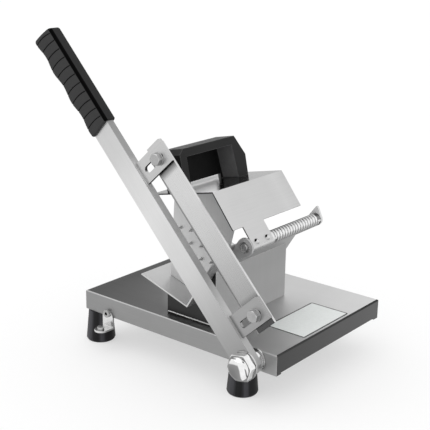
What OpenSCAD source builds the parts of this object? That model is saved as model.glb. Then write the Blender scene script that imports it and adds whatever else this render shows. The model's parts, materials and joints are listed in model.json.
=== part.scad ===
// Hand-operated slicer for frozen meat: a lever arm with a blade, a V trough on a tray,
// and a sprung presser that slides and swings on a guide rod. Millimetres, +Z up, front is -Y.

/* [Base tray] */
// Width of the tray, left to right
tray_w = 300; // [280:1:330]
// Depth of the tray, front to back
tray_d = 220; // [200:1:250]
// Height of the tray's rim
tray_h = 25; // [24:0.5:32]
// Thickness of the tray's sheet steel
tray_sheet = 1.5; // [1:0.1:2]
// Width of the return flange under the front and back rims
return_w = 34; // [32:1:42]
// How far the side rims stop short of the front rim's lower edge
side_lift = 2; // [1:0.5:4]
// Length of full-height rim left at each corner of the side rims
corner_w = 9; // [5:1:15]
// Sideways place of the tray's middle from the origin
tray_shift_x = 27; // [0:1:40]
// Front-to-back place of the tray's middle from the origin
tray_shift_y = 17; // [0:1:40]

/* [Feet] */
// Height of a rubber foot
foot_h = 41.5; // [34:0.5:50]
// Diameter of a foot at its top
foot_top_d = 30; // [28:1:32]
// Diameter of a foot at the table
foot_base_d = 37; // [33:1:42]
// Height of the bevel round a foot's lower edge
foot_bevel = 3; // [1:0.5:5]
// Depth of the screw recess in a foot's underside
foot_recess_h = 14; // [10:1:20]
// Left feet's centres from the tray's left edge
foot_in_left = 13; // [13:1:40]
// Front and back feet's centres from the tray's edges
foot_in_y = 13; // [13:0.5:18]
// Front right foot's centre from the tray's right edge
foot_in_front_right = 56; // [56:1:80]
// Back right foot's centre from the tray's right edge
foot_in_rear_right = 90; // [30:1:110]
// Diameter of the foot screws
foot_screw_d = 6; // [5:0.5:6]

/* [Stand and trough] */
// Stand's left wall from the tray's left edge
stand_in_x = 128; // [110:1:140]
// Stand's front wall from the tray's front edge
stand_in_y = 13; // [8:1:25]
// Width of the stand
stand_w = 74; // [66:1:84]
// Depth of the stand, front to back
stand_d = 140; // [124:1:150]
// Thickness of the stand's sheet
stand_sheet = 1.5; // [1:0.1:2]
// Width of the stand's bottom flanges
stand_flange_w = 16; // [14:1:20]
// Diameter of the stand screws
stand_screw_d = 5; // [4:0.5:6]
// Stand screws' places from the stand's front and back walls
stand_screw_in = 25; // [15:1:40]
// Trough's corner from the stand's left wall
vee_in_x = 45; // [35:1:55]
// Height of the trough's corner over the tray
vee_h = 24; // [16:1:34]
// How far the trough reaches in front of the stand
trough_front = 17; // [10:1:20]
// Length of the trough, front to back
trough_l = 169; // [164:1:180]
// Slope of the trough's floor
floor_slope = 17.4; // [10:0.1:25]
// Slope of the trough's wall
wall_slope = 58; // [52:0.5:62]
// Width of the trough's floor
floor_w = 76; // [70:1:90]
// Width of the trough's wall
wall_w = 97; // [92:0.5:100]
// Thickness of the trough's sheet
trough_sheet = 2; // [1.5:0.1:2.5]

/* [Guide rod and spring] */
// Diameter of the guide rod
rod_d = 9; // [8.5:0.5:9.5]
// Rod's place along the trough's wall, from the corner
rod_up = 105; // [103:0.5:110]
// Rod's place out from the trough's wall
rod_out = 11.3; // [10.8:0.1:13]
// Outer radius of a lug round the rod
lug_r = 11; // [9.5:0.5:13]
// Thickness of a lug
lug_t = 3; // [2:0.5:4]
// Length of a lug's root on the trough's wall
lug_root = 30; // [24:1:40]
// Front lug from the trough's front edge
lug_in = 22; // [16:1:30]
// Height of the rear lug's tip over the rod
lug_tip = 15; // [9:0.5:17]
// Diameter of the rod's retaining rings
clip_d = 13; // [12.5:0.5:15]
// Thickness of the rod's retaining rings
clip_t = 1; // [0.8:0.1:1.5]
// Length of rod that stands out of a retaining ring
rod_proud = 1.5; // [1:0.5:4]
// Outer diameter of the hinge sleeve
sleeve_d = 16; // [15:0.5:17]
// Length of the hinge sleeve
sleeve_l = 43; // [36:1:50]
// Thickness of the spring's washers
spring_washer_t = 1.5; // [1:0.1:2]
// Outer diameter of the spring's washers
spring_washer_d = 16; // [15.5:0.5:18]
// Diameter of the spring's wire
wire_d = 2.8; // [2.2:0.1:2.8]
// Gap between the guide rod and the spring's inside
spring_gap = 0.5; // [0.4:0.1:0.6]
// Number of turns in the spring
spring_turns = 17; // [12:1:18]

/* [Presser] */
// Length of the presser, front to back
presser_l = 132; // [124:1:140]
// How far the presser's front edge lies ahead of its sleeve
presser_ahead = 18; // [10:1:20]
// Thickness of the presser's sheet
presser_sheet = 1.5; // [1:0.1:2]
// Slope of the presser's side plate
side_slope = 51.8; // [46:0.2:56]
// Slope of the presser's top plate
top_slope = 12; // [8:0.5:16]
// Length of the tab between side plate and sleeve
tab_l = 20.9; // [17:0.1:24]
// Width of the tab along the rod
tab_w = 38; // [30:1:42]
// Length of tab past the sleeve's top
tab_over = 4.5; // [3:0.5:5]
// Diameter of the sleeve rivets
rivet_d = 3.5; // [3:0.5:4]
// Diameter of a sleeve rivet's head
rivet_head_d = 7; // [6:0.5:8]
// Height of a sleeve rivet's head
rivet_head_h = 2; // [1.5:0.1:2.5]
// Depth of a sleeve rivet in the sleeve's wall
rivet_in = 1.5; // [1:0.1:1.6]
// Sleeve rivets from the tab's ends
rivet_end = 9; // [7:0.5:11]
// Width of the side plate above the tab
side_w = 48.5; // [42:0.5:56]
// Width of the top plate
top_w = 93; // [86:1:104]
// Push plate's place behind the presser's front edge
push_in = 24; // [22:1:40]
// Thickness of the push plate
push_t = 2; // [1.5:0.1:3]
// Width of the push plate along the top plate
push_top_w = 78; // [66:1:84]
// Width of the push plate along the side plate
push_side_w = 30; // [20:1:40]
// Width of the push plate along the trough's floor
push_floor_w = 54; // [40:1:64]
// Height of the push plate's edge along the trough's wall
push_wall_w = 62; // [50:1:80]
// Length of a tooth on the push plate
tooth_l = 6; // [3:0.5:8]
// Diameter of a tooth at its root
tooth_d = 4; // [3:0.5:5]
// Spacing of the teeth
tooth_pitch = 16; // [14:1:20]

/* [Presser handle] */
// Length of the handle, front to back
handle_l = 117; // [110:1:126]
// How far the handle's front end stands ahead of the presser
handle_ahead = 2; // [0:0.5:4]
// Height of the handle
handle_h = 50; // [46:1:56]
// Width of the handle
handle_w = 28; // [24:1:30]
// Handle's right side from the presser's ridge
handle_in = 38; // [34:1:50]
// Thickness of the handle's front leg
front_leg = 11; // [10:0.5:14]
// Thickness of the handle's back leg at its foot
rear_leg = 19; // [16:0.5:22]
// Slant of the back leg's inner side
leg_slant = 5; // [2:0.5:8]
// Thickness of the handle's bar
handle_bar = 10; // [8:0.5:13]
// Thickness of the handle's web behind the finger gap
handle_web = 4; // [2:0.5:5]
// Gap under the handle's web
web_lift = 6; // [4.5:0.5:9]
// Length of the slope at the handle's upper back corner
rear_slope_l = 17; // [10:1:25]
// Height of the slope at the handle's upper back corner
rear_slope_h = 25; // [18:1:28]
// Size of the slope at the handle's upper front corner
front_slope = 6; // [3:0.5:10]
// Diameter of the handle screws
handle_screw_d = 5; // [4:0.5:6]
// Length of a handle screw inside the handle
handle_screw_l = 14; // [10:1:18]

/* [Lever arm] */
// Angle of the arm over the horizontal, as modelled
arm_angle = 46.85; // [30:0.05:70]
// Pivot's place from the tray's right edge
pivot_in = 28.5; // [25:0.5:36]
// Pivot's depth under the tray's top
pivot_down = 12.5; // [12:0.1:14]
// Width of the arm
arm_w = 29; // [26:0.5:32]
// Thickness of the arm
arm_t = 10; // [8:0.5:12]
// Gap between the tray's front rim and the arm
arm_gap = 10; // [8:0.5:12]
// Length of the arm's bar from the pivot
arm_l = 446; // [420:1:460]
// Length of the grip
grip_l = 141; // [120:1:150]
// Length of grip past the bar's end
grip_over = 13; // [8:1:18]
// Width of the grip
grip_w = 33; // [32:0.5:38]
// Thickness of the grip
grip_t = 18; // [15:0.5:19.5]
// Rounding of the grip's long edges
grip_round = 5; // [2:0.5:7]
// Depth of the finger waves
wave_h = 2.8; // [0.5:0.1:3]
// Spacing of the finger waves
wave_l = 43; // [36:1:48]
// First finger hollow from the grip's lower end
wave_at = 29.6; // [20:0.2:36]
// Width of the bar's tang inside the grip
tang_w = 23; // [20:0.5:24]
// Tang's start from the grip's lower end
tang_in = 3; // [2:0.5:5]

/* [Pivot hardware] */
// Diameter of the pivot stud
stud_d = 14; // [12:0.5:16]
// Across flats of the cap nut
pivot_af = 30; // [28:0.5:32]
// Height of the cap nut's hexagon
cap_hex_h = 10; // [8:0.5:12]
// Height of the cap nut's dome
cap_dome_h = 7; // [5:0.5:9]
// Thickness of the pivot's washers
pivot_washer_t = 1.8; // [1.5:0.1:2.5]
// Diameter of the washer under the cap nut
cap_washer_d = 34; // [32:0.5:36]
// Diameter of the washer at the front rim
pivot_washer_d = 28; // [26:0.5:30]
// Diameter of the chrome spacer
spacer_d = 24; // [20:0.5:26]
// Thickness of the plate behind the front rim
back_plate_t = 5; // [4:0.5:8]
// Width of the plate behind the front rim
back_plate_w = 46; // [40:1:50]
// Height of the lock nut
lock_nut_h = 8; // [6:0.5:10]
// Length of stud past the lock nut
stud_proud = 3; // [1:0.5:6]

/* [Blade and brackets] */
// Thickness of a bracket
bracket_t = 4; // [3:0.5:5]
// Brackets' front faces behind the arm's front face
bracket_back = 3.6; // [2.5:0.1:4]
// Reach of the brackets from the arm's middle line
bracket_reach = 64.5; // [63:0.5:70]
// Lower edge of the lower bracket along the arm
lower_bracket_at = 26; // [24:0.5:28]
// Width of the lower bracket along the arm
lower_bracket_w = 28; // [26:0.5:30]
// Lower edge of the upper bracket along the arm
upper_bracket_at = 231; // [225:0.5:240]
// Width of the upper bracket along the arm
upper_bracket_w = 28; // [26:0.5:30]
// Step at the upper bracket's outer end
bracket_step = 2.5; // [1:0.5:4]
// Rounding of the brackets' outer upper corners
bracket_round = 2.5; // [2:0.5:9]
// Blade's lower end along the arm
blade_at = 20; // [18:0.5:24]
// Length of blade past the upper bolt
blade_past = 14; // [10:0.5:20]
// Cutting edge from the arm's middle line
blade_edge = 30; // [28:0.5:32]
// Width of the blade
blade_w = 33; // [31:0.5:36]
// Thickness of the blade
blade_t = 3; // [2:0.1:3]
// Width of the blade's bevel
bevel_w = 5; // [3:0.5:8]
// Thickness left at the cutting edge
edge_t = 0.3; // [0.2:0.05:0.5]
// Blade bolts from the arm's middle line
bolt_out = 48.3; // [46:0.1:50]
// Diameter of the blade bolts
bolt_d = 8; // [7:0.5:8]
// Across flats of the blade bolts
bolt_af = 13; // [12:0.5:14]
// Height of a blade bolt's head
bolt_head_h = 5.3; // [4:0.1:6]
// Diameter of the blade bolts' washers
bolt_washer_d = 16; // [15:0.5:18]
// Thickness of the blade bolts' washers
bolt_washer_t = 1.6; // [1:0.1:2]
// Height of the blade bolts' nuts
bolt_nut_h = 4.5; // [3.5:0.1:4.8]
// Brackets' slots from the bolt towards the arm
slot_in = 22; // [15:0.5:24]
// Brackets' slots from the bolt away from the arm
slot_out = 4; // [2:0.5:5]

/* [Stop and label] */
// Stop bracket's middle from the tray's left edge
stop_in = 41; // [38:1:60]
// Width of the stop bracket
stop_w = 18; // [14:1:20]
// Thickness of the stop bracket
stop_t = 2.5; // [2:0.1:3]
// Stop bracket's top below the tray's top
stop_top = 17; // [15:0.5:18]
// Height of the stop bracket's upright
stop_h = 20.5; // [18:0.5:24]
// Reach of the stop bracket's ledge
stop_reach = 22.5; // [21:0.5:28]
// Stop screw below the tray's top
stop_screw_down = 20.1; // [19:0.1:20.1]
// Diameter of the stop screw's head
stop_head_d = 10; // [7:0.5:11]
// Height of the stop screw's head
stop_head_h = 3; // [2:0.1:4]
// Diameter of the stop screw
stop_screw_d = 4; // [3:0.5:4]
// Diameter of the stop's button
button_d = 9; // [7:0.5:11]
// Height of the stop's button
button_h = 3.4; // [2:0.1:4.5]
// Width of the blank label plate
label_w = 54; // [40:1:60]
// Depth of the blank label plate
label_d = 96; // [60:1:110]
// Thickness of the blank label plate
label_t = 0.5; // [0.4:0.1:1]
// Label plate from the tray's right edge
label_in_x = 4; // [2:1:20]
// Label plate from the tray's front edge
label_in_y = 59; // [40:1:80]

/* [Fits] */
// Radial running clearance of a shaft in its hole
running = 0.05; // [0.02:0.01:0.1]
// Clearance between faces that pass each other
clear = 0.3; // [0.2:0.05:0.5]
// Clearance of screws in drilled holes
drill_clear = 0.25; // [0.1:0.05:0.4]
// Gap left at welded and seated joints
seat = 0.03; // [0.01:0.01:0.05]

/* [Hidden] */
$fn = 64;
// Overlap of a cut past the face that it opens
cut = 1;
// Small screws: head diameter, head height and nut height as shares of the thread
head_ratio = 1.7;
head_h_ratio = 0.65;
nut_af_ratio = 1.65;
nut_h_ratio = 0.8;
// Radius of a hexagon's corners for its width across flats
hex = 1 / cos(30) / 2;
// Rivet head's and tooth's tips, and the inner washer, as shares of their full diameters
rivet_tip_ratio = 0.6;
tooth_tip_ratio = 0.125;
inner_washer_ratio = 0.75;
// Blade bolts below the brackets' middles, along the arm
lower_bolt_back = 2;
upper_bolt_back = 1;

// Tray box
tray_x0 = tray_shift_x - tray_w / 2;
tray_x1 = tray_x0 + tray_w;
tray_y0 = tray_shift_y - tray_d / 2;
tray_y1 = tray_y0 + tray_d;
tray_z0 = foot_h;
tray_z1 = tray_z0 + tray_h;
flange_top = tray_z0 + tray_sheet;
tray_under = tray_z1 - tray_sheet;

// Feet
foot_places = [
    ["foot_front_left", [tray_x0 + foot_in_left, tray_y0 + foot_in_y]],
    ["foot_front_right", [tray_x1 - foot_in_front_right, tray_y0 + foot_in_y]],
    ["foot_rear_left", [tray_x0 + foot_in_left, tray_y1 - foot_in_y]],
    ["foot_rear_right", [tray_x1 - foot_in_rear_right, tray_y1 - foot_in_y]]
];
foot_washer_t = 1.5;
foot_washer_d = foot_screw_d * 2.2;
foot_recess_d = foot_washer_d + 2 * clear;
foot_thread_over = 2;

// Stand
stand_x0 = tray_x0 + stand_in_x;
stand_x1 = stand_x0 + stand_w;
stand_y0 = tray_y0 + stand_in_y;
stand_y1 = stand_y0 + stand_d;
stand_places = [
    for (x = [stand_x0 + stand_sheet + stand_flange_w / 2, stand_x1 - stand_sheet - stand_flange_w / 2])
        for (y = [stand_y0 + stand_screw_in, stand_y1 - stand_screw_in]) [x, y]
];

// Trough section, in X and Z
vee = [stand_x0 + vee_in_x, tray_z1 + vee_h];
floor_dir = [-cos(floor_slope), sin(floor_slope)];
floor_up = [sin(floor_slope), cos(floor_slope)];
wall_dir = [cos(wall_slope), sin(wall_slope)];
wall_in = [-sin(wall_slope), cos(wall_slope)];
vee_half = (180 - floor_slope - wall_slope) / 2;
vee_mid = (floor_dir + wall_dir) / norm(floor_dir + wall_dir);
trough_y0 = stand_y0 - trough_front;
trough_y1 = trough_y0 + trough_l;

// Guide rod
rod = vee + wall_dir * rod_up - wall_in * rod_out;
lug_y0 = trough_y0 + lug_in;
lug_y1 = lug_y0 + lug_t;
rear_lug_y0 = trough_y1 - lug_t;
rod_y0 = lug_y0 - clip_t - rod_proud;
rod_y1 = trough_y1 + clip_t + rod_proud;

// Sleeve, washers and spring along the rod
sleeve_y0 = lug_y1 + clear;
sleeve_y1 = sleeve_y0 + sleeve_l;
follower_y1 = sleeve_y1 + spring_washer_t;
seat_y0 = rear_lug_y0 - spring_washer_t;
spring_r = rod_d / 2 + spring_gap + wire_d / 2;
spring_y0 = follower_y1;
spring_y1 = seat_y0;

// Presser section round the rod's axis, in X and Z
side_down = [cos(side_slope), -sin(side_slope)];
side_out = [sin(side_slope), cos(side_slope)];
top_left = [-cos(top_slope), -sin(top_slope)];
top_out = [-sin(top_slope), cos(top_slope)];
side_face = sleeve_d / 2 + seat + presser_sheet;
tab_root = rod + side_out * side_face - side_down * tab_l;
ridge = tab_root - side_down * side_w;
top_end = ridge + top_left * top_w;
ridge_half = (180 - side_slope - top_slope) / 2;
ridge_mid = (side_down + top_left) / norm(side_down + top_left);
rivet_y = [sleeve_y0 + rivet_end, sleeve_y0 + tab_w - rivet_end];
presser_y0 = sleeve_y0 - presser_ahead;
presser_y1 = presser_y0 + presser_l;
push_y0 = presser_y0 + push_in;
// Teeth from the trough's corner, in spacings
tooth_columns = [-2.2, -1.2, -0.2, 0.8];
tooth_rows = [2 : 5];

// Presser handle
handle_y0 = presser_y0 - handle_ahead;
handle_screw_y = [handle_y0 + handle_ahead + front_leg / 2, handle_y0 + handle_l - rear_leg / 2];
handle_screw_x = -handle_in - handle_w / 2;

// Lever arm: its front and back faces and its pivot
arm_back = tray_y0 - arm_gap;
arm_front = arm_back - arm_t;
pivot_x = tray_x1 - pivot_in;
pivot_z = tray_z1 - pivot_down;
bracket_y0 = arm_front + bracket_back;
bracket_y1 = bracket_y0 + bracket_t;
blade_y0 = bracket_y1 + seat;
blade_y1 = blade_y0 + blade_t;
bolt_washer_y0 = bracket_y0 - seat - bolt_washer_t;
bolt_head_y0 = bolt_washer_y0 - bolt_head_h;
lower_bolt = lower_bracket_at + lower_bracket_w / 2 - lower_bolt_back;
upper_bolt = upper_bracket_at + upper_bracket_w / 2 - upper_bolt_back;
bolt_places = [lower_bolt, upper_bolt];
blade_l = upper_bolt + blade_past - blade_at;
grip_u1 = arm_l + grip_over;
grip_u0 = grip_u1 - grip_l;
tang_u = grip_u0 + tang_in;
grip_mid_y = arm_back - arm_t / 2;

// Pivot hardware along Y
spacer_y1 = tray_y0 - pivot_washer_t;
back_plate_y1 = tray_y0 + tray_sheet + back_plate_t;
lock_y0 = back_plate_y1 + pivot_washer_t;
stud_y1 = lock_y0 + lock_nut_h + stud_proud;
cap_y1 = arm_front - seat - pivot_washer_t;

// Stop bracket
stop_x = tray_x0 + stop_in;
stop_z1 = tray_z1 - stop_top;
ledge_top = stop_z1 - stop_h;
button_y = arm_back - arm_t / 2;

// A flat outline in X and Z, made solid from y0 for the length l
module along_y(y0, l) {
    translate([0, y0 + l, 0]) rotate([90, 0, 0]) linear_extrude(l) children();
}

// A flat outline in Y and Z, made solid to the right for the length l
module handle_prism(l) {
    rotate([90, 0, 90]) linear_extrude(l) children();
}

// A cylinder along Y from y0 for the length l
module rod_y(y0, l, d) {
    translate([0, y0, 0]) rotate([-90, 0, 0]) cylinder(h = l, d = d);
}

// A hexagonal bar along Y
module hex_y(y0, l, af) {
    translate([0, y0, 0]) rotate([-90, 0, 0]) cylinder(h = l, r = af * hex, $fn = 6);
}

// A washer along Y
module ring_y(y0, l, d, hole) {
    difference() {
        rod_y(y0, l, d);
        rod_y(y0 - cut, l + 2 * cut, hole);
    }
}

// A rectangle with round corners
module round_rect(w, h, r) {
    square([w - 2 * r, h], center = true);
    square([w, h - 2 * r], center = true);
    for (x = [-1, 1], y = [-1, 1]) translate([x * (w / 2 - r), y * (h / 2 - r)]) circle(r);
}

// A slot between the centres x0 and x1 of its round ends, each of radius r
module slot(x0, x1, r) {
    translate([x0, -r]) square([x1 - x0, 2 * r]);
    translate([x0, 0]) circle(r);
    translate([x1, 0]) circle(r);
}

// Places that repeat
module at_pivot() {
    translate([pivot_x, 0, pivot_z]) children();
}
module at_arm() {
    at_pivot() rotate([0, arm_angle, 0]) children();
}
module at_bolts() {
    at_arm() for (u = bolt_places) translate([-u, 0, bolt_out]) children();
}
module at_rod() {
    translate([rod[0], 0, rod[1]]) children();
}
module at_rivets() {
    at_rod() for (y = rivet_y) translate([0, y, 0]) rotate([0, side_slope, 0]) children();
}
module at_ridge() {
    translate([ridge[0], 0, ridge[1]]) rotate([0, -top_slope, 0]) children();
}
module at_feet() {
    for (f = foot_places) translate(f[1]) children();
}

module base_tray() {
    color("silver")
    difference() {
        translate([tray_x0, tray_y0, tray_z0]) cube([tray_w, tray_d, tray_h]);
        translate([tray_x0 + tray_sheet, tray_y0 + tray_sheet, flange_top])
            cube([tray_w - 2 * tray_sheet, tray_d - 2 * tray_sheet, tray_h - 2 * tray_sheet]);
        translate([tray_x0 + tray_sheet, tray_y0 + return_w, tray_z0 - cut])
            cube([tray_w - 2 * tray_sheet, tray_d - 2 * return_w, tray_sheet + 2 * cut]);
        translate([tray_x0 - cut, tray_y0 + corner_w, tray_z0 - cut])
            cube([tray_sheet + 2 * cut, tray_d - 2 * corner_w, side_lift + cut]);
        translate([tray_x1 - tray_sheet - cut, tray_y0 + corner_w, tray_z0 - cut])
            cube([tray_sheet + 2 * cut, tray_d - 2 * corner_w, side_lift + cut]);
        at_feet() translate([0, 0, tray_z0 - cut])
            cylinder(h = tray_sheet + 2 * cut, d = foot_screw_d + 2 * drill_clear);
        for (p = stand_places) translate([p[0], p[1], tray_under - cut])
            cylinder(h = tray_sheet + 2 * cut, d = stand_screw_d + 2 * drill_clear);
        at_pivot() rod_y(tray_y0 - cut, tray_sheet + 2 * cut, stud_d + 2 * running);
        translate([stop_x, 0, tray_z1 - stop_screw_down])
            rod_y(tray_y0 - cut, tray_sheet + 2 * cut, stop_screw_d + 2 * drill_clear);
    }
}

// Plate welded behind the front rim, where the pivot stud pulls on it
module back_plate() {
    plate_z0 = flange_top + clear;
    plate_h = tray_under - clear - plate_z0;
    plate_w = min(back_plate_w, back_plate_w / 2 + pivot_in - tray_sheet - clear);
    color("gray")
    difference() {
        translate([pivot_x - back_plate_w / 2, tray_y0 + tray_sheet, plate_z0])
            cube([plate_w, back_plate_t, plate_h]);
        at_pivot() rod_y(tray_y0, back_plate_t + 2 * tray_sheet, stud_d + 2 * running);
    }
}

module foot(at) {
    hole_r = foot_screw_d / 2 + drill_clear;
    color("#1c1c1e")
    translate(at) rotate_extrude() polygon([
        [hole_r, foot_recess_h],
        [foot_recess_d / 2, foot_recess_h],
        [foot_recess_d / 2, 0],
        [foot_base_d / 2 - foot_bevel / 2, 0],
        [foot_base_d / 2, foot_bevel],
        [foot_top_d / 2, foot_h],
        [hole_r, foot_h]
    ]);
}

module foot_screws() {
    head_h = foot_screw_d * head_h_ratio;
    head_z = foot_recess_h - foot_washer_t - head_h;
    top_z = flange_top + foot_screw_d * nut_h_ratio + foot_thread_over;
    color("gainsboro")
    at_feet() {
        translate([0, 0, head_z]) cylinder(h = head_h, d = foot_screw_d * head_ratio);
        translate([0, 0, head_z]) cylinder(h = top_z - head_z, d = foot_screw_d);
    }
}

module foot_washers() {
    color("gainsboro")
    at_feet() translate([0, 0, foot_recess_h - foot_washer_t])
        difference() {
            cylinder(h = foot_washer_t, d = foot_washer_d);
            translate([0, 0, -cut]) cylinder(h = foot_washer_t + 2 * cut, d = foot_screw_d + 2 * drill_clear);
        }
}

module foot_nuts() {
    color("gainsboro")
    at_feet() translate([0, 0, flange_top])
        difference() {
            cylinder(h = foot_screw_d * nut_h_ratio, r = foot_screw_d * nut_af_ratio * hex, $fn = 6);
            translate([0, 0, -cut]) cylinder(h = foot_screw_d + 2 * cut, d = foot_screw_d + 2 * running);
        }
}

module stand() {
    left_top = vee[1] + (vee[0] - stand_x0) * tan(floor_slope);
    right_top = vee[1] + (stand_x1 - vee[0]) * tan(wall_slope);
    inner_w = stand_w - 2 * stand_sheet;
    inner_d = stand_d - 2 * stand_sheet;
    color("darkgray") {
        difference() {
            along_y(stand_y0, stand_d) translate([0, -seat]) polygon([
                [stand_x0, tray_z1 + seat],
                [stand_x1, tray_z1 + seat],
                [stand_x1, right_top],
                vee,
                [stand_x0, left_top]
            ]);
            translate([stand_x0 + stand_sheet, stand_y0 + stand_sheet, tray_z1 - cut])
                cube([inner_w, inner_d, right_top]);
        }
        difference() {
            for (x = [stand_x0 + stand_sheet, stand_x1 - stand_sheet - stand_flange_w])
                translate([x, stand_y0 + stand_sheet, tray_z1])
                    cube([stand_flange_w, inner_d, stand_sheet]);
            for (p = stand_places) translate([p[0], p[1], tray_z1 - cut])
                cylinder(h = stand_sheet + 2 * cut, d = stand_screw_d + 2 * drill_clear);
        }
    }
}

module stand_screws() {
    head_h = stand_screw_d * head_h_ratio;
    over = stand_screw_d * nut_h_ratio + 1;
    color("gainsboro")
    for (p = stand_places) translate([p[0], p[1], tray_under - head_h]) {
        cylinder(h = head_h, d = stand_screw_d * head_ratio);
        cylinder(h = head_h + tray_sheet + stand_sheet + over, d = stand_screw_d);
    }
}

module stand_nuts() {
    color("gainsboro")
    for (p = stand_places) translate([p[0], p[1], tray_z1 + stand_sheet])
        difference() {
            cylinder(h = stand_screw_d * nut_h_ratio, r = stand_screw_d * nut_af_ratio * hex, $fn = 6);
            translate([0, 0, -cut]) cylinder(h = stand_screw_d + 2 * cut, d = stand_screw_d + 2 * running);
        }
}

module trough() {
    color("lightgray")
    along_y(trough_y0, trough_l) polygon([
        vee,
        vee + floor_dir * floor_w,
        vee + floor_dir * floor_w + floor_up * trough_sheet,
        vee + vee_mid * trough_sheet / sin(vee_half),
        vee + wall_dir * wall_w + wall_in * trough_sheet,
        vee + wall_dir * wall_w
    ]);
}

// Ear welded to the outside of the trough's wall, which holds the guide rod
module lug(y0, tip) {
    root_end = vee + wall_dir * wall_w - wall_in * seat;
    root_start = vee + wall_dir * (wall_w - lug_root) - wall_in * seat;
    color("dimgray")
    difference() {
        along_y(y0, lug_t) hull() {
            translate(rod) circle(tip > 0 ? spring_washer_d / 2 : lug_r, $fn = 32);
            translate(rod + [0, tip]) circle(lug_t / 2, $fn = 16);
            polygon([root_end, root_start, root_start - wall_in]);
        }
        along_y(y0 - cut, lug_t + 2 * cut) polygon([
            root_start - wall_dir * lug_root,
            root_end + wall_dir * lug_root,
            root_end + wall_dir * lug_root + wall_in * lug_root,
            root_start - wall_dir * lug_root + wall_in * lug_root
        ]);
        at_rod() rod_y(y0 - cut, lug_t + 2 * cut, rod_d + 2 * running);
    }
}

module guide_rod() {
    color("whitesmoke")
    at_rod() rod_y(rod_y0, rod_y1 - rod_y0, rod_d);
}

module rod_clips() {
    color("gainsboro")
    at_rod() for (y = [lug_y0 - clip_t, trough_y1]) ring_y(y, clip_t, clip_d, rod_d + 2 * running);
}

// Spring: one tube round a helix, with straight ends that meet the washers square
ring_sides = 6;
rings_per_turn = 8;
helix_rings = spring_turns * rings_per_turn;
helix_l = spring_y1 - spring_y0 - 2 * wire_d;
function turn(i) = 360 * i / rings_per_turn;
function helix_y(i) = spring_y0 + wire_d + helix_l * i / helix_rings;
spring_line = concat(
    [[spring_r, spring_y0, 0]],
    [for (i = [0 : helix_rings]) [spring_r * cos(turn(i)), helix_y(i), spring_r * sin(turn(i))]],
    [[spring_r * cos(turn(helix_rings)), spring_y1, spring_r * sin(turn(helix_rings))]]
);
spring_last = len(spring_line) - 1;
function unit(v) = v / norm(v);
function heading(i) =
    i == 0 || i == spring_last ? [0, 1, 0] : unit(
        unit(spring_line[i] - spring_line[i - 1]) + unit(spring_line[i + 1] - spring_line[i])
    );
function outward(i) = unit([spring_line[i][0], 0, spring_line[i][2]]);
function across(i) = unit(cross(heading(i), outward(i)));
spring_points = [
    for (i = [0 : spring_last]) for (j = [0 : ring_sides - 1])
        spring_line[i] + wire_d / 2 * (
            cos(360 * j / ring_sides) * outward(i) + sin(360 * j / ring_sides) * across(i)
        )
];
function ring_point(i, j) = i * ring_sides + j % ring_sides;
spring_faces = concat(
    [for (i = [0 : spring_last - 1]) for (j = [0 : ring_sides - 1])
        [ring_point(i, j), ring_point(i, j + 1), ring_point(i + 1, j)]],
    [for (i = [0 : spring_last - 1]) for (j = [0 : ring_sides - 1])
        [ring_point(i, j + 1), ring_point(i + 1, j + 1), ring_point(i + 1, j)]],
    [for (j = [1 : ring_sides - 2]) [0, ring_point(0, j + 1), ring_point(0, j)]],
    [for (j = [1 : ring_sides - 2])
        [ring_point(spring_last, 0), ring_point(spring_last, j), ring_point(spring_last, j + 1)]]
);
// Least gap of the spring to itself, between points that lie at least half a turn apart
spring_self_gap = min([
    for (i = [0 : spring_last])
        for (k = [i + rings_per_turn / 2 : 1 : min(spring_last, i + 2 * rings_per_turn)])
            norm(spring_line[i] - spring_line[k])
]) - wire_d;
echo(spring_self_gap = spring_self_gap);

module feed_spring() {
    color("whitesmoke")
    at_rod() polyhedron(points = spring_points, faces = spring_faces);
}

module spring_seat() {
    color("gainsboro")
    at_rod() ring_y(seat_y0, spring_washer_t, spring_washer_d, rod_d + 2 * running);
}

module spring_washer() {
    color("gainsboro")
    at_rod() ring_y(sleeve_y1, spring_washer_t, spring_washer_d, rod_d + 2 * running);
}

module hinge_sleeve() {
    color("whitesmoke")
    difference() {
        at_rod() ring_y(sleeve_y0, sleeve_l, sleeve_d, rod_d + 2 * running);
        at_rivets() translate([0, 0, sleeve_d / 2 - rivet_in - seat])
            cylinder(h = sleeve_d, d = rivet_d + 2 * running);
    }
}

// Rivets that hold the presser's tab to the sleeve
module sleeve_rivets() {
    color("gainsboro")
    at_rivets() {
        translate([0, 0, sleeve_d / 2 - rivet_in])
            cylinder(h = rivet_in + seat + presser_sheet + rivet_head_h / 2, d = rivet_d);
        translate([0, 0, side_face])
            cylinder(h = rivet_head_h, d1 = rivet_head_d, d2 = rivet_head_d * rivet_tip_ratio);
    }
}

module presser() {
    inner = presser_sheet / sin(ridge_half);
    color("lightgray")
    difference() {
        union() {
            along_y(presser_y0, presser_l) polygon([
                tab_root,
                ridge,
                top_end,
                top_end - top_out * presser_sheet,
                ridge + ridge_mid * inner,
                tab_root - side_out * presser_sheet
            ]);
            along_y(sleeve_y0, tab_w) polygon([
                tab_root - side_down,
                tab_root + side_down * (tab_l + tab_over),
                tab_root + side_down * (tab_l + tab_over) - side_out * presser_sheet,
                tab_root - side_down - side_out * presser_sheet
            ]);
        }
        at_ridge() for (y = handle_screw_y) translate([handle_screw_x, y, -presser_sheet - cut])
            cylinder(h = presser_sheet + 2 * cut, d = handle_screw_d + 2 * drill_clear);
        at_rivets() translate([0, 0, side_face - presser_sheet - cut])
            cylinder(h = presser_sheet + 2 * cut, d = rivet_d + 2 * running);
    }
}

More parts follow.
